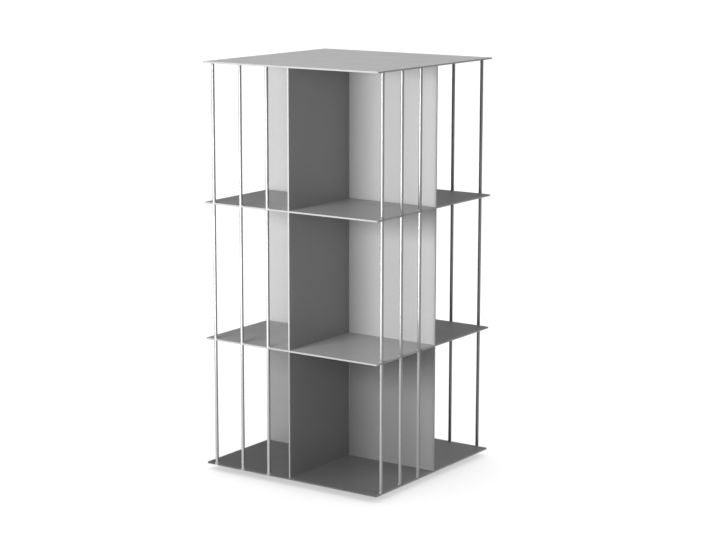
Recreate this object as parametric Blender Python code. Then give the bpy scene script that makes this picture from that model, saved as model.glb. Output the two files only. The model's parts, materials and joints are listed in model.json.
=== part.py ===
"""Revolving bookcase in sheet steel: four square plates on crossing dividers,
caged by vertical rods, turning on a ball thrust bearing over a floor disc.

Metres, +Z up.  Origin: on the floor, on the swivel axis.
Front face is -Y, right face is +X, back face is +Y, left face is -X.
"""
import bpy
import bmesh
from math import acos, cos, pi, radians, sin

# ---------------------------------------------------------------- dimensions
MM = 0.001
GAP = 0.3 * MM                      # clearance between neighbouring pieces

SIDE = 500.0 * MM                   # side of every square plate
PLATE_T = 4.0 * MM                  # plate thickness
CORNER_R = 3.0 * MM                 # plan radius of the plate corners

PITCH_BOTTOM = 312.0 * MM           # bottom plate to lower shelf
PITCH_MIDDLE = 333.0 * MM           # lower shelf to upper shelf
PITCH_TOP = 336.0 * MM              # upper shelf to top plate

DIVIDER_T = 4.0 * MM                # divider sheet thickness
DIVIDER_W = 499.0 * MM              # divider width, just inside the plate edge

ROD_R = 4.0 * MM                    # rod radius
ROD_INSET = 5.0 * MM                # rod axis to plate edge
ROD_STATIONS = (27.0 * MM, 107.5 * MM, 185.5 * MM)   # from the face's left corner
NOTCH_R = ROD_R + GAP               # edge notch that a rod sits in

PAD_R = 12.0 * MM                   # floor pads
PAD_T = 2.5 * MM
PAD_CHAMFER = 0.6 * MM
PAD_COUNT = 6
PAD_RING_R = 158.0 * MM

DISC_R = 178.0 * MM                 # base disc
DISC_T = 4.0 * MM
ACCESS_R = 8.0 * MM                 # hole for reaching the upper screws

BALL_R = 2.5 * MM                   # thrust bearing
BALL_COUNT = 12
BALL_RING_R = 130.0 * MM
RACE_T = 2.8 * MM
RACE_GAP = 1.1 * MM                 # race face to ball centre plane
LOWER_RACE_IN, LOWER_RACE_OUT = 119.0 * MM, 153.0 * MM
UPPER_RACE_IN, UPPER_RACE_OUT = 107.0 * MM, 141.0 * MM
CAGE_T = 1.4 * MM
CAGE_IN, CAGE_OUT = 124.5 * MM, 135.5 * MM
RING_SEGMENTS = 60                  # facets round the bearing rings

SCREW_SHANK_R = 2.0 * MM            # bearing screws
SCREW_HEAD_R = 3.5 * MM
SCREW_HEAD_T = 2.0 * MM
SCREW_HOLE_R = SCREW_SHANK_R + GAP
SCREW_SOCKET_R = 1.45 * MM          # hex socket, across corners / 2
SCREW_SOCKET_T = 1.2 * MM
LOWER_SCREW_RING_R = 147.0 * MM
UPPER_SCREW_RING_R = 113.0 * MM
SCREW_COUNT = 4
UPPER_HOLE_T = 3.0 * MM             # blind depth in the bottom plate

# ---------------------------------------------------------- levels, derived
Z_DISC = PAD_T + GAP
Z_LOWER_RACE = Z_DISC + DISC_T + GAP
Z_BALL = Z_LOWER_RACE + RACE_T + RACE_GAP
Z_UPPER_RACE = Z_BALL + RACE_GAP
Z_BOTTOM = Z_UPPER_RACE + RACE_T + GAP          # underside of the bottom plate
Z_LOWER = Z_BOTTOM + PITCH_BOTTOM
Z_UPPER = Z_LOWER + PITCH_MIDDLE
Z_TOP = Z_UPPER + PITCH_TOP

# ------------------------------------------------------------------ finishes
# colour (linear), roughness, metallic
PAINT = ((0.27, 0.273, 0.276, 1.0), 0.40, 0.15)      # plates, dividers and rods
DISC_PAINT = ((0.06, 0.06, 0.062, 1.0), 0.5, 0.0)
ZINC_STEEL = ((0.50, 0.50, 0.49, 1.0), 0.35, 1.0)
BALL_STEEL = ((0.62, 0.62, 0.62, 1.0), 0.12, 1.0)
CAGE_NYLON = ((0.55, 0.53, 0.47, 1.0), 0.5, 0.0)
SCREW_STEEL = ((0.45, 0.45, 0.45, 1.0), 0.3, 1.0)
PAD_RUBBER = ((0.02, 0.02, 0.02, 1.0), 0.8, 0.0)


def clear_scene():
    for obj in list(bpy.data.objects):
        bpy.data.objects.remove(obj, do_unlink=True)


def make_material(name, finish):
    colour, roughness, metallic = finish
    mat = bpy.data.materials.new("mat_" + name)
    mat.use_nodes = True
    shader = mat.node_tree.nodes["Principled BSDF"]
    shader.inputs["Base Color"].default_value = colour
    shader.inputs["Roughness"].default_value = roughness
    shader.inputs["Metallic"].default_value = metallic
    mat.diffuse_color = colour
    return mat


def make_frame(name):
    empty = bpy.data.objects.new(name, None)
    bpy.context.scene.collection.objects.link(empty)
    return empty


def finish_mesh(bm, name, smooth=False):
    bmesh.ops.remove_doubles(bm, verts=bm.verts, dist=1e-7)
    bmesh.ops.recalc_face_normals(bm, faces=bm.faces)
    mesh = bpy.data.meshes.new(name)
    bm.to_mesh(mesh)
    bm.free()
    if smooth:
        mesh.shade_smooth()
        mesh.set_sharp_from_angle(angle=radians(35.0))
    return mesh


def place(name, mesh, finish, parent, location=(0, 0, 0), turn=0.0):
    obj = bpy.data.objects.new(name, mesh)
    bpy.context.scene.collection.objects.link(obj)
    obj.parent = parent
    obj.location = location
    obj.rotation_euler = (0.0, 0.0, turn)
    # copies may share a mesh, so the finish sits on the object
    if not mesh.materials:
        mesh.materials.append(None)
    obj.material_slots[0].link = 'OBJECT'
    obj.material_slots[0].material = make_material(name, finish)
    return obj


def ring_points(radius, count, centre=(0.0, 0.0), start=0.0):
    return [(centre[0] + radius * cos(start + 2 * pi * k / count),
             centre[1] + radius * sin(start + 2 * pi * k / count))
            for k in range(count)]


def quarter_turn(point, quarters):
    x, y = point
    for _ in range(quarters % 4):
        x, y = -y, x
    return x, y


def prism(outline, holes, height):
    """Closed prism from z = 0 to height over an outline with through holes."""
    bm = bmesh.new()
    edges = []
    for loop in [outline] + list(holes):
        verts = [bm.verts.new((x, y, 0.0)) for x, y in loop]
        edges += [bm.edges.new((verts[i], verts[(i + 1) % len(verts)]))
                  for i in range(len(verts))]
    filled = bmesh.ops.triangle_fill(bm, use_beauty=True, edges=edges)
    faces = [g for g in filled["geom"] if isinstance(g, bmesh.types.BMFace)]
    raised = bmesh.ops.extrude_face_region(bm, geom=faces)
    top = [g for g in raised["geom"] if isinstance(g, bmesh.types.BMVert)]
    bmesh.ops.translate(bm, verts=top, vec=(0.0, 0.0, height))
    return bm


def turned(profile, segments, ripple=None):
    """Closed solid of revolution.  The profile is a list of (radius, z); it
    starts and ends on the axis, or comes back to its start for a ring.
    ripple gives a radius factor for a ring index and a segment index."""
    bm = bmesh.new()
    rings = []
    for i, (r, z) in enumerate(profile):
        if r < 1e-9:
            rings.append([bm.verts.new((0.0, 0.0, z))])
            continue
        ring = []
        for k in range(segments):
            a = 2 * pi * k / segments
            f = ripple(i, k) if ripple else 1.0
            ring.append(bm.verts.new((r * f * cos(a), r * f * sin(a), z)))
        rings.append(ring)
    closed = profile[0][0] > 1e-9
    pairs = len(rings) if closed else len(rings) - 1
    for i in range(pairs):
        lower, upper = rings[i], rings[(i + 1) % len(rings)]
        for k in range(segments):
            n = (k + 1) % segments
            a, b = lower[k % len(lower)], lower[n % len(lower)]
            c, d = upper[n % len(upper)], upper[k % len(upper)]
            corners = []
            for v in (a, b, c, d):
                if v not in corners:
                    corners.append(v)
            bm.faces.new(corners)
    return bm


# -------------------------------------------------------------------- plates
def plate_outline(notched):
    half = SIDE / 2
    loop = []
    for quarter in range(4):
        side = []
        if notched:
            for station in ROD_STATIONS:
                cx, cy = -half + station, -half + ROD_INSET
                side.append((cx - NOTCH_R, -half))
                for k in range(9):
                    a = pi - pi * k / 8
                    side.append((cx + NOTCH_R * cos(a), cy + NOTCH_R * sin(a)))
                side.append((cx + NOTCH_R, -half))
        for k in range(5):
            a = -pi / 2 + (pi / 2) * k / 4
            side.append((half - CORNER_R + CORNER_R * cos(a),
                         -half + CORNER_R + CORNER_R * sin(a)))
        loop += [quarter_turn(p, quarter) for p in side]
    return loop


def make_plate(name, z, notched, parent):
    mesh = finish_mesh(prism(plate_outline(notched), [], PLATE_T), name)
    return place(name, mesh, PAINT, parent, (0, 0, z))


def drill(obj, centres, radius, z_low, z_high):
    """Round holes cut straight through a height range."""
    for i, (x, y) in enumerate(centres):
        mesh = finish_mesh(prism(ring_points(radius, 12), [], z_high - z_low),
                           "%s_drill_%d" % (obj.name, i))
        cutter = bpy.data.objects.new(mesh.name, mesh)
        bpy.context.scene.collection.objects.link(cutter)
        cutter.location = (x, y, z_low)
        cutter.hide_render = True
        cutter.display_type = 'WIRE'
        cut = obj.modifiers.new("hole_%d" % i, 'BOOLEAN')
        cut.operation = 'DIFFERENCE'
        cut.solver = 'EXACT'
        cut.object = cutter


# ------------------------------------------------------------------ dividers
def make_divider(level, z_low, z_high, along_y, parent):
    """A sheet the width of the case, slotted to half its height at the centre.
    The sheet along X is slotted from above, the one along Y from below."""
    half_w, slot = DIVIDER_W / 2, DIVIDER_T / 2 + GAP
    height = z_high - z_low
    middle = height / 2
    if along_y:
        top = middle + GAP / 2
        outline = [(-half_w, 0), (-slot, 0), (-slot, top), (slot, top),
                   (slot, 0), (half_w, 0), (half_w, height), (-half_w, height)]
    else:
        top = middle - GAP / 2
        outline = [(-half_w, 0), (half_w, 0), (half_w, height), (slot, height),
                   (slot, top), (-slot, top), (-slot, height), (-half_w, height)]
    bm = prism(outline, [], DIVIDER_T)
    for v in bm.verts:                       # stand the sheet up on its edge
        v.co = (v.co.x, DIVIDER_T / 2 - v.co.z, v.co.y)
    name = "divider_%s_%s" % (level, "y" if along_y else "x")
    mesh = finish_mesh(bm, name)
    return place(name, mesh, PAINT, parent, (0, 0, z_low),
                 pi / 2 if along_y else 0.0)


# ---------------------------------------------------------------------- rods
def make_rods(parent):
    z_low, z_high = Z_BOTTOM, Z_TOP - GAP
    mesh = finish_mesh(prism(ring_points(ROD_R, 24), [], z_high - z_low),
                       "rod", smooth=True)
    half = SIDE / 2
    for quarter, face in enumerate(("front", "right", "back", "left")):
        for i, station in enumerate(ROD_STATIONS):
            x, y = quarter_turn((-half + station, -half + ROD_INSET), quarter)
            place("rod_%s_%d" % (face, i + 1), mesh, PAINT, parent,
                  (x, y, z_low))


# ------------------------------------------------------------ base, bearing
def make_pads(parent):
    mesh = finish_mesh(turned([(0.0, 0.0), (PAD_R - PAD_CHAMFER, 0.0),
                               (PAD_R, PAD_CHAMFER), (PAD_R, PAD_T),
                               (0.0, PAD_T)], 24), "floor_pad", smooth=True)
    for i, (x, y) in enumerate(ring_points(PAD_RING_R, PAD_COUNT)):
        place("floor_pad_%d" % (i + 1), mesh, PAD_RUBBER, parent, (x, y, 0.0))


def make_disc(parent):
    holes = [ring_points(SCREW_HOLE_R, 12, c) for c in
             ring_points(LOWER_SCREW_RING_R, SCREW_COUNT, start=pi / 4)]
    holes.append(ring_points(ACCESS_R, 20, (0.0, -UPPER_SCREW_RING_R)))
    mesh = finish_mesh(prism(ring_points(DISC_R, 96), holes, DISC_T),
                       "base_disc", smooth=True)
    return place("base_disc", mesh, DISC_PAINT, parent, (0, 0, Z_DISC))


def race_profile(r_in, r_out):
    """Flat ring, z up from its back face, with a ball groove in its face."""
    groove = BALL_R + GAP
    centre_z = RACE_T + RACE_GAP
    reach = pi / 2 - acos(RACE_GAP / groove)     # where the groove meets the face
    points = [(r_in, 0.0), (r_out, 0.0), (r_out, RACE_T)]
    steps = 4
    for k in range(steps + 1):
        a = -reach - (pi - 2 * reach) * k / steps
        points.append((BALL_RING_R + groove * cos(a), centre_z + groove * sin(a)))
    points.append((r_in, RACE_T))
    return points


def make_races(base, case):
    lower = finish_mesh(turned(race_profile(LOWER_RACE_IN, LOWER_RACE_OUT), RING_SEGMENTS),
                        "bearing_lower_race", smooth=True)
    obj = place("bearing_lower_race", lower, ZINC_STEEL, base,
                (0, 0, Z_LOWER_RACE))
    drill(obj, ring_points(LOWER_SCREW_RING_R, SCREW_COUNT, start=pi / 4),
          SCREW_HOLE_R, Z_LOWER_RACE - MM, Z_LOWER_RACE + RACE_T + MM)

    flipped = [(r, RACE_T - z) for r, z in
               race_profile(UPPER_RACE_IN, UPPER_RACE_OUT)]
    upper = finish_mesh(turned(flipped, RING_SEGMENTS), "bearing_upper_race", smooth=True)
    obj = place("bearing_upper_race", upper, ZINC_STEEL, case,
                (0, 0, Z_UPPER_RACE))
    drill(obj, ring_points(UPPER_SCREW_RING_R, SCREW_COUNT, start=pi / 4),
          SCREW_HOLE_R, Z_UPPER_RACE - MM, Z_UPPER_RACE + RACE_T + MM)


def make_cage(parent):
    pockets = [ring_points(BALL_R + GAP, 14, c)
               for c in ring_points(BALL_RING_R, BALL_COUNT)]
    holes = [ring_points(CAGE_IN, RING_SEGMENTS)] + pockets
    mesh = finish_mesh(prism(ring_points(CAGE_OUT, RING_SEGMENTS), holes, CAGE_T),
                       "bearing_cage", smooth=True)
    place("bearing_cage", mesh, CAGE_NYLON, parent,
          (0, 0, Z_BALL - CAGE_T / 2))

    bm = bmesh.new()
    bmesh.ops.create_uvsphere(bm, u_segments=10, v_segments=7, radius=BALL_R)
    ball = finish_mesh(bm, "bearing_ball", smooth=True)
    for i, (x, y) in enumerate(ring_points(BALL_RING_R, BALL_COUNT)):
        place("bearing_ball_%02d" % (i + 1), ball, BALL_STEEL, parent,
              (x, y, Z_BALL))


def screw_mesh(name, shank):
    """Cap screw, head downwards from z = 0, shank upwards to its length."""
    hexed = (1, 2)                           # rings of the hex socket

    def ripple(ring, k):
        return 1.0 if ring not in hexed or k % 2 == 0 else cos(pi / 6)

    head = -SCREW_HEAD_T
    profile = [(0.0, head + SCREW_SOCKET_T),
               (SCREW_SOCKET_R, head + SCREW_SOCKET_T),
               (SCREW_SOCKET_R, head),
               (SCREW_HEAD_R - 0.5 * MM, head),
               (SCREW_HEAD_R, head + 0.5 * MM),
               (SCREW_HEAD_R, 0.0),
               (SCREW_SHANK_R, 0.0),
               (SCREW_SHANK_R, shank - 0.4 * MM),
               (SCREW_SHANK_R - 0.4 * MM, shank),
               (0.0, shank)]
    return finish_mesh(turned(profile, 12, ripple), name, smooth=True)


def make_screws(base, case):
    # lower race to disc: heads up, on the flange outside the upper race
    shank = RACE_T + GAP + DISC_T - 0.5 * MM
    mesh = screw_mesh("base_screw", shank)
    for v in mesh.vertices:                  # turn over, end for end
        v.co = (v.co.x, -v.co.y, -v.co.z)
    z = Z_LOWER_RACE + RACE_T + GAP
    for i, (x, y) in enumerate(ring_points(LOWER_SCREW_RING_R, SCREW_COUNT,
                                           start=pi / 4)):
        place("base_screw_%d" % (i + 1), mesh, SCREW_STEEL, base, (x, y, z))

    # upper race to bottom plate: heads down, inside the lower race
    shank = GAP + RACE_T + GAP + UPPER_HOLE_T - 2 * GAP
    mesh = screw_mesh("case_screw", shank)
    z = Z_UPPER_RACE - GAP
    for i, (x, y) in enumerate(ring_points(UPPER_SCREW_RING_R, SCREW_COUNT,
                                           start=pi / 4)):
        place("case_screw_%d" % (i + 1), mesh, SCREW_STEEL, case, (x, y, z))


def main():
    clear_scene()
    base = make_frame("base_axis")           # all three frames sit on the
    cage = make_frame("cage_axis")           # swivel axis, at floor level
    case = make_frame("case_axis")

    bottom = make_plate("bottom_plate", Z_BOTTOM, True, case)
    make_plate("lower_shelf", Z_LOWER, True, case)
    make_plate("upper_shelf", Z_UPPER, True, case)
    make_plate("top_plate", Z_TOP, False, case)
    drill(bottom, ring_points(UPPER_SCREW_RING_R, SCREW_COUNT, start=pi / 4),
          SCREW_HOLE_R, Z_BOTTOM - MM, Z_BOTTOM + UPPER_HOLE_T)

    levels = (("bottom", Z_BOTTOM, Z_LOWER), ("middle", Z_LOWER, Z_UPPER),
              ("top", Z_UPPER, Z_TOP))
    for level, z_floor, z_ceiling in levels:
        z_low, z_high = z_floor + PLATE_T + GAP, z_ceiling - GAP
        make_divider(level, z_low, z_high, False, case)
        make_divider(level, z_low, z_high, True, case)

    make_rods(case)
    make_pads(base)
    make_disc(base)
    make_races(base, case)
    make_cage(cage)
    make_screws(base, case)


main()
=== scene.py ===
import json
from math import acos, atan2, cos, degrees, pi, radians, sin, sqrt

import bmesh
import bpy
from mathutils import Matrix, Vector, noise

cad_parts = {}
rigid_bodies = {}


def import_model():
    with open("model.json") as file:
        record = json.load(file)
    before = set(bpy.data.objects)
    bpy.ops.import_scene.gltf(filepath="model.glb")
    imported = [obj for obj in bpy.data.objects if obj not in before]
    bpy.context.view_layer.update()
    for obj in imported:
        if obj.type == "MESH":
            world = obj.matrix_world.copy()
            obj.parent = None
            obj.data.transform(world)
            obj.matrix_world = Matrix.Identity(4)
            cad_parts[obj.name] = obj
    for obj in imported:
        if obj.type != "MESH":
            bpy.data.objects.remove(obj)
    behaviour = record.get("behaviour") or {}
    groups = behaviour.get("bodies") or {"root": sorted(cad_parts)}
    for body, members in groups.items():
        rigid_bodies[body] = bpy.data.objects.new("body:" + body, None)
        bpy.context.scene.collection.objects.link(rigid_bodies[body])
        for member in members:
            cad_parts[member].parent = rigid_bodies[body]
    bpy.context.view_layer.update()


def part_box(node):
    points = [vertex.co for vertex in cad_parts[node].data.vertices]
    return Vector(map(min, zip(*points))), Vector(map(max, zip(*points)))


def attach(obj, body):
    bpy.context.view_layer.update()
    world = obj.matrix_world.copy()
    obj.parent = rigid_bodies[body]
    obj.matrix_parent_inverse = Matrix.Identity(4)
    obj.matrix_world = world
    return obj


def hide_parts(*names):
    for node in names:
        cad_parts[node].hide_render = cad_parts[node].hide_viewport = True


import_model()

MM = 0.001

# ------------------------------------------------------------------ dimensions
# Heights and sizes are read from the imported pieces; only plan details that a
# box cannot give are repeated here.
def z_range(node):
    lo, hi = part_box(node)
    return lo.z, hi.z


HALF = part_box("top_plate")[1].x                   # half side of the plates
CORNER_R = 3.0 * MM
ROD_R = 4.0 * MM
ROD_INSET = 5.0 * MM
ROD_STATIONS = (27.0 * MM, 107.5 * MM, 185.5 * MM)
NOTCH_R = 4.3 * MM
DIVIDER_T = 4.0 * MM
EDGE_R = 0.55 * MM                                # broken edge of cut sheet
PLATES = ("bottom_plate", "lower_shelf", "upper_shelf", "top_plate")
LEVELS = (("bottom", "bottom_plate", "lower_shelf"),
          ("middle", "lower_shelf", "upper_shelf"),
          ("top", "upper_shelf", "top_plate"))
FACES = ("front", "right", "back", "left")
BALL_RING_R = 130.0 * MM


def quarter_turn(p, quarters):
    x, y = p
    for _ in range(quarters % 4):
        x, y = -y, x
    return x, y


def rod_centres():
    for q, face in enumerate(FACES):
        for i, s in enumerate(ROD_STATIONS):
            yield face, i + 1, q, quarter_turn((-HALF + s, -HALF + ROD_INSET), q)


# -------------------------------------------------------------- node helpers
class Graph:
    """Small helper for building a procedural material."""

    def __init__(self, name):
        self.mat = bpy.data.materials.new(name)
        self.mat.use_nodes = True
        self.tree = self.mat.node_tree
        self.tree.nodes.clear()
        self.out = self.node("ShaderNodeOutputMaterial")
        self.shader = self.node("ShaderNodeBsdfPrincipled")
        self.link(self.shader.outputs[0], self.out.inputs[0])
        self.coord = self.node("ShaderNodeTexCoord").outputs["Object"]

    def node(self, kind, **values):
        n = self.tree.nodes.new(kind)
        for key, value in values.items():
            setattr(n, key, value)
        return n

    def link(self, a, b):
        self.tree.links.new(a, b)

    def noise(self, scale, detail=3.0, rough=0.55, vector=None, stretch=None, distortion=0.0):
        vec = vector or self.coord
        if stretch:
            m = self.node("ShaderNodeMapping")
            m.inputs["Scale"].default_value = stretch
            self.link(vec, m.inputs["Vector"])
            vec = m.outputs["Vector"]
        n = self.node("ShaderNodeTexNoise")
        n.inputs["Scale"].default_value = scale
        n.inputs["Detail"].default_value = detail
        n.inputs["Roughness"].default_value = rough
        n.inputs["Distortion"].default_value = distortion
        self.link(vec, n.inputs["Vector"])
        return n.outputs["Fac"]

    def cells(self, scale):
        n = self.node("ShaderNodeTexVoronoi")
        n.inputs["Scale"].default_value = scale
        self.link(self.coord, n.inputs["Vector"])
        s = self.node("ShaderNodeSeparateColor")
        self.link(n.outputs["Color"], s.inputs[0])
        return s.outputs[0]

    def ramp(self, value, lo, hi, out_lo=0.0, out_hi=1.0):
        n = self.node("ShaderNodeMapRange", clamp=True)
        n.inputs["From Min"].default_value = lo
        n.inputs["From Max"].default_value = hi
        n.inputs["To Min"].default_value = out_lo
        n.inputs["To Max"].default_value = out_hi
        self.link(value, n.inputs["Value"])
        return n.outputs["Result"]

    def math(self, op, a, b=None):
        n = self.node("ShaderNodeMath", operation=op)
        for i, v in enumerate((a, b)):
            if v is None:
                continue
            if isinstance(v, (int, float)):
                n.inputs[i].default_value = v
            else:
                self.link(v, n.inputs[i])
        return n.outputs[0]

    def mix(self, factor, a, b, blend='MIX'):
        n = self.node("ShaderNodeMix", data_type='RGBA', blend_type=blend)
        self.link(factor, n.inputs["Factor"]) if not isinstance(factor, float) else setattr(
            n.inputs["Factor"], "default_value", factor)
        for socket, v in ((n.inputs[6], a), (n.inputs[7], b)):
            if isinstance(v, tuple):
                socket.default_value = v if len(v) == 4 else (*v, 1.0)
            else:
                self.link(v, socket)
        return n.outputs[2]

    def attribute(self, name):
        n = self.node("ShaderNodeAttribute", attribute_name=name)
        return n.outputs["Fac"]

    def bump(self, *layers):
        """layers: (height output, strength, distance), coarse to fine."""
        normal = None
        for height, strength, distance in layers:
            b = self.node("ShaderNodeBump")
            b.inputs["Strength"].default_value = strength
            b.inputs["Distance"].default_value = distance
            self.link(height, b.inputs["Height"])
            if normal is not None:
                self.link(normal, b.inputs["Normal"])
            normal = b.outputs["Normal"]
        self.link(normal, self.shader.inputs["Normal"])

    def set(self, **values):
        names = {"colour": "Base Color", "roughness": "Roughness", "metallic": "Metallic",
                 "specular": "Specular IOR Level", "coat": "Coat Weight",
                 "coat_roughness": "Coat Roughness", "ior": "IOR",
                 "sheen": "Sheen Weight", "anisotropic": "Anisotropic"}
        for key, v in values.items():
            socket = self.shader.inputs[names[key]]
            if isinstance(v, (int, float)):
                socket.default_value = v
            elif isinstance(v, tuple):
                socket.default_value = v if len(v) == 4 else (*v, 1.0)
            else:
                self.link(v, socket)
        return self


# ------------------------------------------------------------------ materials
def paint(name, lo, hi, worn, metallic=0.2, rough=(0.34, 0.47), peel=1.0):
    """Satin grey-aluminium powder coat: fine flake, orange peel, faint handling
    marks, and a coat that thins to a lighter, smoother line on cut edges."""
    g = Graph(name)
    drift = g.noise(3.2, 5.0, 0.6)
    flake = g.ramp(g.cells(1500.0), 0.0, 1.0, 0.0, 1.0)
    base = g.mix(g.ramp(drift, 0.3, 0.7), lo, hi)
    fleck = g.mix(flake, tuple(c * 0.86 for c in lo), tuple(min(1.0, c * 1.16) for c in hi))
    base = g.mix(0.45, base, fleck)
    mottle = g.ramp(g.noise(430.0, 2.0, 0.5), 0.3, 0.7)
    base = g.mix(0.4, base, g.mix(mottle, tuple(c * 0.95 for c in lo), tuple(c * 1.05 for c in hi)))
    chips = g.ramp(g.noise(85.0, 6.0, 0.7), 0.44, 0.64)
    wear = g.math('MULTIPLY', g.ramp(g.attribute("wear"), 0.25, 1.0), chips)
    wear = g.math('MULTIPLY', wear, 0.55)
    g.set(colour=g.mix(wear, base, worn))
    smudge = g.ramp(g.noise(11.0, 6.0, 0.62, distortion=0.6), 0.35, 0.7, rough[0], rough[1])
    grit = g.ramp(g.noise(420.0, 3.0), 0.3, 0.7, -0.035, 0.035)
    r = g.math('ADD', smudge, grit)
    g.set(roughness=g.math('SUBTRACT', r, g.math('MULTIPLY', wear, 0.16)))
    g.set(metallic=metallic)
    g.bump((g.noise(2.4, 2.0, 0.4), 0.2, 0.0012),
           (g.noise(520.0, 2.0, 0.5), 0.16 * peel, 0.00035),
           (g.noise(2600.0, 2.0, 0.6), 0.10 * peel, 0.00012))
    return g.mat


def dark_paint(name):
    g = Graph(name)
    base = g.mix(g.ramp(g.noise(5.0, 5.0, 0.6), 0.3, 0.7), (0.040, 0.040, 0.042), (0.060, 0.060, 0.062))
    base = g.mix(g.ramp(g.cells(1300.0), 0.82, 1.0, 0.0, 0.35), base, (0.12, 0.12, 0.12))
    wear = g.math('MULTIPLY', g.ramp(g.attribute("wear"), 0.3, 1.0), g.ramp(g.noise(90.0, 6.0, 0.7), 0.46, 0.62))
    g.set(colour=g.mix(g.math('MULTIPLY', wear, 0.6), base, (0.22, 0.22, 0.22)))
    g.set(roughness=g.ramp(g.noise(14.0, 5.0), 0.3, 0.7, 0.46, 0.62), metallic=0.0)
    g.bump((g.noise(700.0, 2.0), 0.3, 0.0004), (g.noise(2400.0, 2.0), 0.15, 0.00015))
    return g.mat


def turned_steel(name, lo, hi, rough, ring=0.0, axis_rings=900.0):
    """Plated or ground steel; ring marks run round the swivel axis."""
    g = Graph(name)
    base = g.mix(g.ramp(g.noise(40.0, 5.0, 0.65), 0.3, 0.7), lo, hi)
    base = g.mix(g.ramp(g.cells(260.0), 0.0, 1.0, 0.0, 0.22), base, tuple(min(1.0, c * 1.15) for c in hi))
    wear = g.math('MULTIPLY', g.ramp(g.attribute("wear"), 0.3, 1.0), g.ramp(g.noise(160.0, 5.0), 0.4, 0.65))
    g.set(colour=g.mix(g.math('MULTIPLY', wear, 0.5), base, (0.78, 0.78, 0.77)))
    g.set(roughness=g.ramp(g.noise(150.0, 5.0, 0.6), 0.3, 0.7, rough[0], rough[1]), metallic=1.0)
    layers = [(g.noise(600.0, 3.0), 0.12, 0.0002)]
    if ring:
        radial = g.node("ShaderNodeVectorMath", operation='MULTIPLY')
        radial.inputs[1].default_value = (1.0, 1.0, 0.0)
        g.link(g.coord, radial.inputs[0])
        length = g.node("ShaderNodeVectorMath", operation='LENGTH')
        g.link(radial.outputs[0], length.inputs[0])
        waves = g.math('SINE', g.math('MULTIPLY', length.outputs["Value"], axis_rings * 2 * pi))
        layers.append((waves, ring, 0.00008))
    g.bump(*layers)
    return g.mat


def rubber(name):
    g = Graph(name)
    base = g.mix(g.ramp(g.noise(60.0, 5.0, 0.65), 0.3, 0.7), (0.014, 0.014, 0.014), (0.030, 0.030, 0.029))
    dust = g.ramp(g.noise(220.0, 6.0, 0.7), 0.56, 0.8, 0.0, 0.5)
    g.set(colour=g.mix(dust, base, (0.10, 0.098, 0.092)))
    g.set(roughness=g.ramp(g.noise(300.0, 4.0), 0.3, 0.7, 0.68, 0.88))
    g.bump((g.noise(900.0, 3.0), 0.35, 0.0003))
    return g.mat


def nylon(name):
    g = Graph(name)
    base = g.mix(g.ramp(g.noise(30.0, 5.0), 0.3, 0.7), (0.50, 0.475, 0.40), (0.62, 0.60, 0.53))
    grease = g.ramp(g.noise(75.0, 5.0, 0.6), 0.5, 0.72, 0.0, 0.6)
    g.set(colour=g.mix(grease, base, (0.30, 0.24, 0.13)))
    g.set(roughness=g.ramp(g.noise(75.0, 5.0, 0.6), 0.4, 0.7, 0.5, 0.25))
    g.bump((g.noise(800.0, 3.0), 0.2, 0.0002))
    return g.mat


GREY_LO, GREY_HI, GREY_WORN = (0.207, 0.207, 0.207), (0.240, 0.240, 0.240), (0.245, 0.245, 0.245)
ROD_LO, ROD_HI = (0.225, 0.225, 0.225), (0.260, 0.260, 0.260)
M_SHEET = paint("sheet_paint", GREY_LO, GREY_HI, GREY_WORN, rough=(0.36, 0.44))
M_ROD = paint("rod_paint_coat", ROD_LO, ROD_HI, GREY_WORN, metallic=0.55, rough=(0.30, 0.36), peel=0.15)
M_WELD = paint("weld_paint", GREY_LO, GREY_HI, GREY_WORN, rough=(0.36, 0.5), peel=1.4)
M_DISC = dark_paint("disc_paint")
M_RACE = turned_steel("race_zinc", (0.50, 0.50, 0.48), (0.60, 0.60, 0.57), (0.26, 0.42), ring=0.25)
M_BALL = turned_steel("ball_polish", (0.62, 0.62, 0.62), (0.68, 0.68, 0.68), (0.06, 0.14))
M_SCREW = turned_steel("screw_zinc", (0.46, 0.46, 0.45), (0.56, 0.56, 0.54), (0.24, 0.40))
M_PAD = rubber("pad_moulding")
M_CAGE = nylon("cage_moulding")


# ------------------------------------------------------------- mesh builders
def loops_to_prism(outline, holes, z0, z1):
    bm = bmesh.new()
    edges = []
    for loop in [outline] + list(holes):
        verts = [bm.verts.new((x, y, z0)) for x, y in loop]
        edges += [bm.edges.new((verts[i], verts[(i + 1) % len(verts)])) for i in range(len(verts))]
    filled = bmesh.ops.triangle_fill(bm, use_beauty=True, edges=edges)
    faces = [g for g in filled["geom"] if isinstance(g, bmesh.types.BMFace)]
    raised = bmesh.ops.extrude_face_region(bm, geom=faces)
    top = [g for g in raised["geom"] if isinstance(g, bmesh.types.BMVert)]
    bmesh.ops.translate(bm, verts=top, vec=(0, 0, z1 - z0))
    bmesh.ops.recalc_face_normals(bm, faces=bm.faces)
    bm.normal_update()
    return bm


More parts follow.
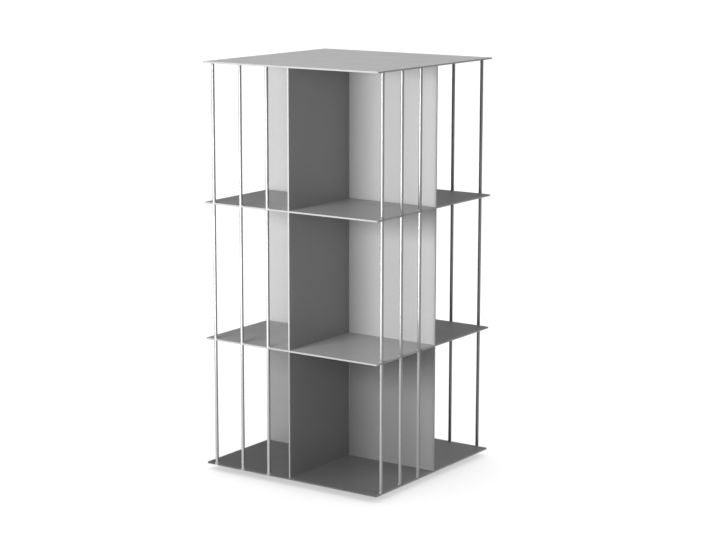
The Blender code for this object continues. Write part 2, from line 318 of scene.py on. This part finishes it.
def slab(loops, z0, z1, radius, border, steps=4):
    """Sheet with rounded edges. Each loop is a function that gives its points
    drawn back into the sheet by a distance; the first is the outline and the
    others are holes. The rounded band is marked as worn, the flat is not."""
    bm = bmesh.new()
    layer = bm.verts.layers.float.new("wear")
    section = [(border, z0, 0.0)]
    for k in range(steps + 1):
        a = (pi / 2) * k / steps
        section.append((radius * (1 - sin(a)), z0 + radius * (1 - cos(a)), 1.0))
    section.append((0.0, (z0 + z1) / 2, 0.45))
    for k in range(steps + 1):
        a = (pi / 2) * k / steps
        section.append((radius * (1 - cos(a)), z1 - radius * (1 - sin(a)), 1.0))
    section.append((border, z1, 0.0))
    caps = ([], [])
    for loop in loops:
        rings = []
        for back, z, wear in section:
            ring = []
            for x, y in loop(back):
                v = bm.verts.new((x, y, z))
                v[layer] = wear
                ring.append(v)
            rings.append(ring)
        n = len(rings[0])
        for lower, upper in zip(rings, rings[1:]):
            for k in range(n):
                bm.faces.new((lower[k], lower[(k + 1) % n], upper[(k + 1) % n], upper[k]))
        for cap, ring in zip(caps, (rings[0], rings[-1])):
            for k in range(n):
                cap.append(bm.edges.get((ring[k], ring[(k + 1) % n])))
    for cap, up in zip(caps, (-1, 1)):
        made = bmesh.ops.triangle_fill(bm, use_beauty=True, edges=cap, normal=(0, 0, up))
        assert any(isinstance(g, bmesh.types.BMFace) for g in made["geom"])
    return bm


def circle_loop(radius, count, centre=(0.0, 0.0), hole=False):
    return lambda back: ring_points(radius + back if hole else radius - back, count, centre)


def to_object(bm, name, mat, body, node=None, weighted=True, smooth_angle=40.0):
    bmesh.ops.recalc_face_normals(bm, faces=bm.faces)
    mesh = bpy.data.meshes.new(name)
    bm.to_mesh(mesh)
    bm.free()
    mesh.shade_smooth()
    mesh.set_sharp_from_angle(angle=radians(smooth_angle))
    mesh.materials.append(mat)
    obj = bpy.data.objects.new(name, mesh)
    bpy.context.scene.collection.objects.link(obj)
    if weighted:
        w = obj.modifiers.new("normals", 'WEIGHTED_NORMAL')
        w.keep_sharp = True
        w.weight = 80
    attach(obj, body)
    if node:
        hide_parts(node)
    return obj


def ring_points(radius, count, centre=(0.0, 0.0), start=0.0):
    return [(centre[0] + radius * cos(start + 2 * pi * k / count),
             centre[1] + radius * sin(start + 2 * pi * k / count)) for k in range(count)]


def turned(profile, segments, ripple=None):
    bm = bmesh.new()
    rings = []
    for i, (r, z) in enumerate(profile):
        if r < 1e-9:
            rings.append([bm.verts.new((0, 0, z))])
        else:
            rings.append([bm.verts.new((r * (ripple(i, k) if ripple else 1.0) * cos(2 * pi * k / segments),
                                        r * (ripple(i, k) if ripple else 1.0) * sin(2 * pi * k / segments), z))
                          for k in range(segments)])
    closed = profile[0][0] > 1e-9
    for i in range(len(rings) if closed else len(rings) - 1):
        a, b = rings[i], rings[(i + 1) % len(rings)]
        for k in range(segments):
            n = (k + 1) % segments
            corners = []
            for v in (a[k % len(a)], a[n % len(a)], b[n % len(b)], b[k % len(b)]):
                if v not in corners:
                    corners.append(v)
            bm.faces.new(corners)
    bmesh.ops.recalc_face_normals(bm, faces=bm.faces)
    return bm


# --------------------------------------------------------------------- plates
def plate_outline(notched):
    def loop(back):
        points = []
        r_notch, r_corner, edge = NOTCH_R + back, CORNER_R - back, -HALF + back
        for q in range(4):
            side = []
            if notched:
                for s in ROD_STATIONS:
                    cx, cy = -HALF + s, -HALF + ROD_INSET
                    side.append((cx - r_notch, edge))
                    for k in range(21):
                        a = pi - pi * k / 20
                        side.append((cx + r_notch * cos(a), cy + r_notch * sin(a)))
                    side.append((cx + r_notch, edge))
            for k in range(9):
                a = -pi / 2 + (pi / 2) * k / 8
                side.append((HALF - CORNER_R + r_corner * cos(a), -HALF + CORNER_R + r_corner * sin(a)))
            points += [quarter_turn(p, q) for p in side]
        return points
    return loop


def build_plates():
    for name in PLATES:
        z0, z1 = z_range(name)
        bm = slab([plate_outline(name != "top_plate")], z0, z1, EDGE_R, 2.2 * MM)
        to_object(bm, name + "_sheet", M_SHEET, "case", name)


# ------------------------------------------------------------------- dividers
def build_dividers():
    for level, floor, ceiling in LEVELS:
        z0, z1 = z_range(floor)[1], z_range(ceiling)[0]
        zm = (z0 + z1) / 2
        half_w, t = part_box("divider_%s_x" % level)[1].x, DIVIDER_T / 2
        for along_y in (False, True):
            if along_y:
                outline = [(-half_w, z0), (-t, z0), (-t, zm), (t, zm), (t, z0), (half_w, z0),
                           (half_w, z1), (-half_w, z1)]
            else:
                outline = [(-half_w, z0), (half_w, z0), (half_w, z1), (t, z1), (t, zm), (-t, zm),
                           (-t, z1), (-half_w, z1)]
            bm = loops_to_prism(outline, [], 0.0, DIVIDER_T)
            for v in bm.verts:
                v.co = (v.co.x, t - v.co.z, v.co.y)
            bmesh.ops.recalc_face_normals(bm, faces=bm.faces)
            layer = bm.verts.layers.float.new("wear")
            ends = [e for e in bm.edges
                    if all(abs(abs(v.co.x) - half_w) < 1e-6 for v in e.verts)
                    and abs(e.verts[0].co.z - e.verts[1].co.z) > 0.1]
            made = bmesh.ops.bevel(bm, geom=ends, offset=EDGE_R, offset_type='OFFSET', segments=3,
                                   profile=0.5, affect='EDGES', clamp_overlap=False)
            for v in made["verts"]:
                v[layer] = 1.0
            # a narrow border keeps the worn band at the outer edge
            for s in (-1, 1):
                bmesh.ops.bisect_plane(bm, geom=bm.verts[:] + bm.edges[:] + bm.faces[:],
                                       plane_co=(s * (half_w - 2.2 * MM), 0, 0), plane_no=(1, 0, 0))
            for v in bm.verts:
                if abs(v.co.x) < half_w - 2.0 * MM:
                    v[layer] = 0.0
            if along_y:
                bmesh.ops.rotate(bm, verts=bm.verts, cent=(0, 0, 0), matrix=Matrix.Rotation(pi / 2, 3, 'Z'))
            name = "divider_%s_%s" % (level, "y" if along_y else "x")
            to_object(bm, name + "_sheet", M_SHEET, "case", name)


# ----------------------------------------------------------------------- rods
def build_rods():
    z0 = z_range("bottom_plate")[0]
    z1 = z_range("top_plate")[0]
    c = 0.5 * MM
    for face, i, q, (x, y) in rod_centres():
        bm = turned([(0, z0), (ROD_R - c, z0), (ROD_R - 0.3 * c, z0 + 0.3 * c), (ROD_R, z0 + c),
                     (ROD_R, z1), (0, z1)], 40)
        bmesh.ops.translate(bm, verts=bm.verts, vec=(x, y, 0))
        name = "rod_%s_%d" % (face, i)
        to_object(bm, name + "_bar", M_ROD, "case", name, weighted=False)


# ---------------------------------------------------------------------- welds
def bead_section(leg_a, leg_b, steps=5):
    """Convex weld section between a wall (a, upwards) and a floor (b, outwards)."""
    pts = []
    for k in range(steps + 1):
        t = k / steps
        bulge = 0.16 * sin(pi * t)
        pts.append((leg_b * (t + bulge * (1 - t)), leg_a * ((1 - t) + bulge * t)))
    return pts


def ring_weld(bm, centre, z, up, quarter, seed, full):
    """Fillet bead round the inner side of a rod where it meets a plate face."""
    steps = 40
    start, end = (radians(-180.0), radians(180.0)) if full else (radians(-38.0), radians(218.0))
    rows = []
    for k in range(steps + 1):
        t = k / steps
        a = start + (end - start) * t
        taper = 1.0 - 0.5 * max(0.0, -sin(a)) if full else sqrt(max(0.03, min(1.0, t / 0.08, (1 - t) / 0.08)))
        wob = 1.0 + 0.10 * sin(2 * pi * t * 15 + seed) + 0.10 * noise.noise(Vector((t * 7.0, seed, 3.1)))
        leg = 1.7 * MM * taper * wob
        row = []
        for out, rise in bead_section(leg, leg * 1.05):
            r = ROD_R - 0.1 * MM + out
            x, y = r * cos(a), r * sin(a)
            x, y = quarter_turn((x, y), quarter)
            row.append(bm.verts.new((centre[0] + x, centre[1] + y, z + up * rise)))
        x, y = quarter_turn(((ROD_R - 0.1 * MM) * cos(a), (ROD_R - 0.1 * MM) * sin(a)), quarter)
        row.append(bm.verts.new((centre[0] + x, centre[1] + y, z - up * 0.15 * MM)))
        rows.append(row)
    n = len(rows[0])
    for k in range(steps):
        for j in range(n):
            m = (j + 1) % n
            bm.faces.new((rows[k][j], rows[k][m], rows[k + 1][m], rows[k + 1][j]))
    bm.faces.new(rows[0])
    bm.faces.new(list(reversed(rows[-1])))


def notch_fill(bm, centre, z0, z1, quarter, side):
    """Weld metal between a rod and the wall of its notch, hollow towards the mouth."""
    wall, rod = NOTCH_R + 0.15 * MM, ROD_R - 0.1 * MM
    plan = [(wall, 0.6 * MM), (wall, -4.4 * MM)]
    end = (rod * cos(radians(-54)), rod * sin(radians(-54)))
    for k in range(1, 7):
        t = k / 6
        cx, cy = 3.75 * MM, -3.35 * MM
        plan.append(((1 - t) ** 2 * wall + 2 * t * (1 - t) * cx + t * t * end[0],
                     (1 - t) ** 2 * -4.4 * MM + 2 * t * (1 - t) * cy + t * t * end[1]))
    for k in range(1, 8):
        a = radians(-54 + 62 * k / 7)
        plan.append((rod * cos(a), rod * sin(a)))
    rows = []
    for z in (z0, z1):
        row = []
        for x, y in plan:
            x, y = quarter_turn((side * x, y), quarter)
            row.append(bm.verts.new((centre[0] + x, centre[1] + y, z)))
        rows.append(row)
    n = len(plan)
    for k in range(n):
        bm.faces.new((rows[0][k], rows[0][(k + 1) % n], rows[1][(k + 1) % n], rows[1][k]))
    bm.faces.new(rows[0])
    bm.faces.new(rows[1])


def straight_weld(bm, start, along, wall_up, floor_out, length, seed, leg, ripple=0.10, soft=7.0 * MM,
                  pitch=0.7 * MM):
    """Fillet bead along an inner corner of two sheets."""
    steps = max(8, int(length / pitch))
    along, wall_up, floor_out = Vector(along), Vector(wall_up), Vector(floor_out)
    rows = []
    for k in range(steps + 1):
        t = k / steps
        ends = max(0.0, min(1.0, t * length / soft, (1 - t) * length / soft))
        taper = 0.16 + 0.84 * ends * ends * (3 - 2 * ends)
        wob = 1.0 + ripple * sin(2 * pi * t * length / (2.0 * MM) + seed) \
            + 1.4 * ripple * noise.noise(Vector((t * length * 260.0, seed, 0.7)))
        row = []
        for out, rise in bead_section(leg * taper * wob, leg * taper * wob):
            row.append(bm.verts.new(Vector(start) + along * (length * t) + floor_out * out + wall_up * rise))
        row.append(bm.verts.new(Vector(start) + along * (length * t)
                                - floor_out * 0.15 * MM - wall_up * 0.15 * MM))
        rows.append(row)
    n = len(rows[0])
    for k in range(steps):
        for j in range(n):
            m = (j + 1) % n
            bm.faces.new((rows[k][j], rows[k][m], rows[k + 1][m], rows[k + 1][j]))
    bm.faces.new(rows[0])
    bm.faces.new(list(reversed(rows[-1])))


def build_welds():
    for p, name in enumerate(PLATES):
        z0, z1 = z_range(name)
        sides = []
        if name != "top_plate":
            sides.append((z1, 1))
        if name != "bottom_plate":
            sides.append((z0, -1))
        bm = bmesh.new()
        for face, i, q, centre in rod_centres():
            for z, up in sides:
                ring_weld(bm, centre, z, up, q, 1.7 * i + 0.9 * q + 2.3 * p + up, name == "top_plate")
            if name != "top_plate":
                for side in (-1, 1):
                    notch_fill(bm, centre, z0 + 0.2 * MM, z1 - 0.2 * MM, q, side)
        to_object(bm, name + "_rod_welds", M_WELD, "case", weighted=False, smooth_angle=50.0)

    t = DIVIDER_T / 2
    for n, (level, floor, ceiling) in enumerate(LEVELS):
        z0, z1 = z_range(floor)[1], z_range(ceiling)[0]
        bm = bmesh.new()
        seed = 10.0 * n
        for q in range(4):
            turn = Matrix.Rotation(q * pi / 2, 3, 'Z')
            out, across = turn @ Vector((1, 0, 0)), turn @ Vector((0, 1, 0))
            reach_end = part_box("divider_%s_x" % level)[1].x - 1.5 * MM
            for side in (-1, 1):
                for z, up in ((z0, 1), (z1, -1)):
                    seed += 0.61
                    straight_weld(bm, turn @ Vector((t, side * t, z)), out, (0, 0, up), across * side,
                                  reach_end - t, seed, 0.8 * MM, 0.03, 3.0 * MM, 4.0 * MM)
            for k, reach in enumerate((52 * MM, 138 * MM, 206 * MM)):
                seed += 1.37
                side = 1 if (k + q) % 2 else -1
                for z, up in ((z0, 1), (z1, -1)):
                    straight_weld(bm, turn @ Vector((reach, side * t, z)), out, (0, 0, up), across * side,
                                  27 * MM, seed, 1.5 * MM)
            # seam and tacks down the inner corner where the two sheets cross
            straight_weld(bm, turn @ Vector((t, t, z0)), (0, 0, 1), across, out, z1 - z0, seed,
                          0.8 * MM, 0.03, 3.0 * MM, 4.0 * MM)
            for share in (0.12, 0.48, 0.84):
                seed += 0.77
                start = turn @ Vector((t, t, z0 + (z1 - z0) * share))
                straight_weld(bm, start, (0, 0, 1), across, out, 22 * MM, seed, 1.4 * MM)
        to_object(bm, "divider_%s_welds" % level, M_WELD, "case", weighted=False,
                  smooth_angle=50.0)


# -------------------------------------------------------- base and bearing
def build_base():
    lo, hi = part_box("base_disc")
    holes = [circle_loop(2.3 * MM, 24, c, True) for c in ring_points(147.0 * MM, 4, start=pi / 4)]
    holes.append(circle_loop(8.0 * MM, 40, (0.0, -113.0 * MM), True))
    bm = slab([circle_loop(hi.x, 192)] + holes, lo.z, hi.z, 0.5 * MM, 1.4 * MM)
    to_object(bm, "base_disc_plate", M_DISC, "base", "base_disc")

    for i in range(1, 7):
        lo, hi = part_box("floor_pad_%d" % i)
        r, h = (hi.x - lo.x) / 2, hi.z - lo.z
        profile = [(0, 0.35 * MM), (0.22 * r, 0.35 * MM), (0.26 * r, 0.0), (0.50 * r, 0.0),
                   (0.53 * r, 0.35 * MM), (0.60 * r, 0.35 * MM), (0.63 * r, 0.0), (r - 0.6 * MM, 0.0),
                   (r - 0.2 * MM, 0.15 * MM), (r, 0.6 * MM), (r, h - 0.5 * MM), (r - 0.15 * MM, h - 0.15 * MM),
                   (r - 0.5 * MM, h), (0, h)]
        bm = turned(profile, 48)
        bmesh.ops.translate(bm, verts=bm.verts, vec=((lo.x + hi.x) / 2, (lo.y + hi.y) / 2, 0))
        to_object(bm, "floor_pad_%d_moulding" % i, M_PAD, "base", "floor_pad_%d" % i,
                  weighted=False, smooth_angle=38.0)


def race(node, body, flip):
    lo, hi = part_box(node)
    thick, r_out = hi.z - lo.z, hi.x
    r_in = r_out - 34.0 * MM
    groove, gap = 2.8 * MM, 1.1 * MM
    reach = pi / 2 - acos(gap / groove)
    c = 0.35 * MM
    pts = [(r_in + c, 0.0), (r_out - c, 0.0), (r_out, c), (r_out, thick - c), (r_out - c, thick)]
    for k in range(13):
        a = -reach - (pi - 2 * reach) * k / 12
        pts.append((BALL_RING_R + groove * cos(a), thick + gap + groove * sin(a)))
    pts += [(r_in + c, thick), (r_in, thick - c), (r_in, c)]
    if flip:
        pts = [(r, thick - z) for r, z in pts]
    bm = turned(pts, 160)
    bmesh.ops.translate(bm, verts=bm.verts, vec=(0, 0, lo.z))
    to_object(bm, node + "_ring", M_RACE, body, node, weighted=False, smooth_angle=38.0)


def build_bearing():
    race("bearing_lower_race", "base", False)
    race("bearing_upper_race", "case", True)
    lo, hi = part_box("bearing_cage")
    pockets = [circle_loop(2.8 * MM, 28, c, True) for c in ring_points(BALL_RING_R, 12)]
    bm = slab([circle_loop(hi.x, 160), circle_loop(hi.x - 11.0 * MM, 160, hole=True)] + pockets,
              lo.z, hi.z, 0.25 * MM, 0.6 * MM, 3)
    to_object(bm, "bearing_cage_ring", M_CAGE, "ball_cage", "bearing_cage")
    for i, (x, y) in enumerate(ring_points(BALL_RING_R, 12)):
        node = "bearing_ball_%02d" % (i + 1)
        lo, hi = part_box(node)
        bm = bmesh.new()
        bmesh.ops.create_uvsphere(bm, u_segments=28, v_segments=16, radius=2.5 * MM)
        bmesh.ops.translate(bm, verts=bm.verts, vec=(x, y, (lo.z + hi.z) / 2))
        to_object(bm, node + "_sphere", M_BALL, "ball_cage", node, weighted=False)


def build_screws():
    for kind, body, ring, head_up in (("base_screw", "base", 147.0 * MM, True),
                                      ("case_screw", "case", 113.0 * MM, False)):
        for i, (x, y) in enumerate(ring_points(ring, 4, start=pi / 4)):
            node = "%s_%d" % (kind, i + 1)
            lo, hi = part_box(node)
            length = hi.z - lo.z
            rh, rs, th = 3.5 * MM, 2.0 * MM, 2.0 * MM
            # head at z = 0 downwards, socket in its end face, threaded shank upwards
            profile = [(0, 1.2 * MM), (1.45 * MM, 1.2 * MM), (1.45 * MM, 0.1 * MM), (1.60 * MM, 0.0),
                       (rh - 0.6 * MM, 0.0), (rh - 0.2 * MM, 0.2 * MM), (rh, 0.6 * MM), (rh, th - 0.1 * MM),
                       (rh - 0.1 * MM, th), (rs, th)]
            z, crest = th + 0.3 * MM, True
            while z < length - 0.5 * MM:
                profile.append((rs if crest else rs - 0.28 * MM, z))
                crest = not crest
                z += 0.35 * MM
            profile += [(rs - 0.4 * MM, length), (0, length)]

            def hexed(ring_index, k):
                if ring_index not in (1, 2, 3):
                    return 1.0
                a = (2 * pi * k / 36) % (pi / 3) - pi / 6
                return cos(pi / 6) / cos(a) if ring_index < 3 else 0.5 + 0.5 * cos(pi / 6) / cos(a)
            bm = turned(profile, 36, hexed)
            if head_up:
                bmesh.ops.rotate(bm, verts=bm.verts, cent=(0, 0, 0), matrix=Matrix.Rotation(pi, 3, 'X'))
                bmesh.ops.translate(bm, verts=bm.verts, vec=(x, y, hi.z))
            else:
                bmesh.ops.translate(bm, verts=bm.verts, vec=(x, y, lo.z))
            to_object(bm, node + "_cap", M_SCREW, body, node, weighted=False, smooth_angle=35.0)


build_plates()
build_dividers()
build_rods()
build_welds()
build_base()
build_bearing()
build_screws()


# ---------------------------------------------------------------------- stage
def build_stage():
    mesh = bpy.data.meshes.new("floor")
    bm = bmesh.new()
    bmesh.ops.create_grid(bm, x_segments=1, y_segments=1, size=60.0)
    bm.to_mesh(mesh)
    bm.free()
    floor = bpy.data.objects.new("floor", mesh)
    floor.location.z = -0.0002
    bpy.context.scene.collection.objects.link(floor)
    g = Graph("floor_white")
    tone = g.ramp(g.noise(1.3, 3.0), 0.3, 0.7)
    g.set(colour=g.mix(tone, (0.79, 0.79, 0.79), (0.81, 0.81, 0.81)), roughness=0.75, specular=0.1)
    # seen from below, the floor lets the underside of the object show
    clear = g.node("ShaderNodeBsdfTransparent")
    pick = g.node("ShaderNodeMixShader")
    g.link(g.node("ShaderNodeNewGeometry").outputs["Backfacing"], pick.inputs[0])
    g.link(g.shader.outputs[0], pick.inputs[1])
    g.link(clear.outputs[0], pick.inputs[2])
    g.link(pick.outputs[0], g.out.inputs[0])
    mesh.materials.append(g.mat)
    return floor


def sun(name, towards, strength, angle):
    data = bpy.data.lights.new(name, 'SUN')
    data.energy = strength
    data.angle = radians(angle)
    obj = bpy.data.objects.new(name, data)
    obj.rotation_euler = Vector(towards).to_track_quat('Z', 'Y').to_euler()
    bpy.context.scene.collection.objects.link(obj)
    return obj


FLOOR = build_stage()
FLOOR.visible_diffuse = False             # the lights, not the floor, shade the object


def receivers(light, lit):
    """Floor, sheet and rod lights, so that each is set on its own."""
    group = bpy.data.collections.new(light.name + "_lit")
    for o in bpy.context.scene.objects:
        if o.type != 'MESH':
            continue
        if o == FLOOR:
            kinds = ("floor",)
        elif o.name.startswith("rod_"):
            kinds = ("rods", "object")
        else:
            upper = o.name.startswith(("divider_middle", "divider_top", "lower_", "upper_", "top_"))
            kinds = ("sheets", "object")
            if o.name == "bottom_plate_sheet":    # its edge stays dark against the floor
                kinds += ("bottom_plate",)
            else:
                kinds += ("upper_sheets" if upper else "lowest_sheets",)
            if not o.name.endswith(("plate_sheet", "shelf_sheet")):
                kinds += ("keyed_sheets",)
        if o.name in ("bottom_plate_sheet", "lower_shelf_sheet", "upper_shelf_sheet"):
            kinds += ("shelves",)
        elif o != FLOOR:
            kinds += ("all_but_shelves",)
        if o.name.startswith(("base_", "floor_pad")):
            kinds += ("base",)
        if lit in kinds:
            group.objects.link(o)
    light.light_linking.receiver_collection = group


def towards(left_of_front, elevation):
    """Direction to a light; the front face of the case looks along -Y."""
    p, e = radians(left_of_front), radians(elevation)
    return -sin(p) * cos(e), -cos(p) * cos(e), sin(e)


def panel(name, place, aim, power, width, height):
    data = bpy.data.lights.new(name, 'AREA')
    data.shape = 'RECTANGLE'
    data.size, data.size_y = width, height
    data.energy = power
    obj = bpy.data.objects.new(name, data)
    obj.location = place
    obj.rotation_euler = (Vector(place) - Vector(aim)).to_track_quat('Z', 'Y').to_euler()
    obj.visible_camera = False
    bpy.context.scene.collection.objects.link(obj)
    return obj


# A softbox shades the sheets from the front and falls off towards the floor,
# two strips shade the rods; weaker lights fill the left, the back and the right,
# and the shelves, which lie in each other's shade, get a soft light of their own.
front = panel("front_softbox", (-0.18, -2.0, 0.92), (0.0, 0.0, 0.6), 122.0, 0.9, 0.7)
front_low = panel("front_softbox_low", (-0.18, -2.0, 0.92), (0.0, 0.0, 0.6), 49.0, 0.9, 0.7)
strip = panel("front_strip", (-0.30, -2.0, 0.36), (0.0, 0.0, 0.36), 86.0, 0.6, 1.2)
strip_low = panel("front_strip_low", (-0.15, -1.0, 0.17), (0.0, 0.0, 0.17), 10.0, 0.4, 0.32)
key = sun("left_key", towards(45.0, 3.0), 2.6, 24.0)
key_low = sun("left_key_low", towards(45.0, 3.0), 1.3, 24.0)
left = sun("left_softbox", towards(105.0, 2.0), 2.2, 20.0)
back = sun("back_softbox", towards(163.0, 2.0), 2.4, 20.0)
right = sun("right_fill", towards(-40.0, 3.0), 0.9, 40.0)
rear = sun("right_rear_fill", towards(-143.0, 3.0), 1.6, 12.0)
top = sun("top_softbox", (0.0, 0.0, 1.0), 7.25, 16.0)
shelf = sun("shelf_softbox", (0.30, 0.10, 1.0), 1.35, 60.0)
under = sun("under_fill", (0.0, 0.0, -1.0), 3.4, 60.0)     # shows the base from below
for lamp in (left, back):
    receivers(lamp, "object")
receivers(top, "all_but_shelves")
receivers(shelf, "shelves")
receivers(under, "base")
receivers(key, "keyed_sheets")
receivers(key_low, "bottom_plate")
for lamp in (right, rear):
    receivers(lamp, "sheets")
receivers(front, "upper_sheets")
receivers(front_low, "lowest_sheets")
for lamp in (strip, strip_low):
    receivers(lamp, "rods")
for lamp in (front, front_low, key, key_low, left, back, right, rear):
    lamp.visible_glossy = False           # no glare on the flat top from behind
wide = sun("floor_wash_wide", (-0.10, 0.055, 1.0), 0.25, 15.0)
near = sun("floor_wash_near", (-0.02, 0.01, 1.0), 1.6, 155.0)
fill = sun("floor_fill", (0.0, 0.0, 1.0), 2.05, 60.0)
for lamp in (wide, near, fill):
    receivers(lamp, "floor")


def blockers(light, *starts):
    """Only the named pieces cast this light's shadow."""
    group = bpy.data.collections.new(light.name + "_blocked_by")
    for o in bpy.context.scene.objects:
        if o.type == 'MESH' and o != FLOOR and o.name.startswith(starts):
            group.objects.link(o)
    light.light_linking.blocker_collection = group


blockers(near, "bottom_plate", "base_", "floor_pad", "bearing_", "case_screw")
blockers(fill, "base_disc", "floor_pad")
blockers(shelf, "divider_", "rod_")
blockers(under, "base_", "floor_pad")

world = bpy.data.worlds.new("studio")
bpy.context.scene.world = world
world.use_nodes = True
wt = world.node_tree
wt.nodes.clear()
w_out = wt.nodes.new("ShaderNodeOutputWorld")
w_fill = wt.nodes.new("ShaderNodeBackground")
w_fill.inputs[0].default_value = (1.0, 1.0, 1.0, 1.0)
w_fill.inputs[1].default_value = 0.20
w_seen = wt.nodes.new("ShaderNodeBackground")
w_seen.inputs[0].default_value = (1.0, 1.0, 1.0, 1.0)
w_seen.inputs[1].default_value = 1.0
w_pick = wt.nodes.new("ShaderNodeMixShader")
wt.links.new(wt.nodes.new("ShaderNodeLightPath").outputs["Is Camera Ray"], w_pick.inputs[0])
wt.links.new(w_fill.outputs[0], w_pick.inputs[1])
wt.links.new(w_seen.outputs[0], w_pick.inputs[2])
wt.links.new(w_pick.outputs[0], w_out.inputs[0])
bpy.context.scene.view_settings.view_transform = 'Standard'
bpy.context.scene.view_settings.look = 'None'


# --------------------------------------------------------------------- camera
def build_camera():
    az, el, roll = radians(34.39), radians(10.64), radians(0.107)
    back = Vector((sin(az) * cos(el), -cos(az) * cos(el), sin(el)))
    right = Vector((cos(az), sin(az), 0.0))
    up = back.cross(right)
    target = Vector((0, 0, 0.55 + 0.0172)) + right * 0.0215 - up * 0.0795
    r = right * cos(roll) + up * sin(roll)
    u = up * cos(roll) - right * sin(roll)
    data = bpy.data.cameras.new("camera")
    data.sensor_fit = 'HORIZONTAL'
    data.sensor_width = 36.0
    data.lens = 1981.3 * 36.0 / 716.0
    data.clip_end = 200.0
    cam = bpy.data.objects.new("camera", data)
    m = Matrix((r, u, back)).transposed().to_4x4()
    m.translation = target + back * 4.828
    cam.matrix_world = m
    bpy.context.scene.collection.objects.link(cam)
    bpy.context.scene.camera = cam


build_camera()

bpy.context.view_layer.update()
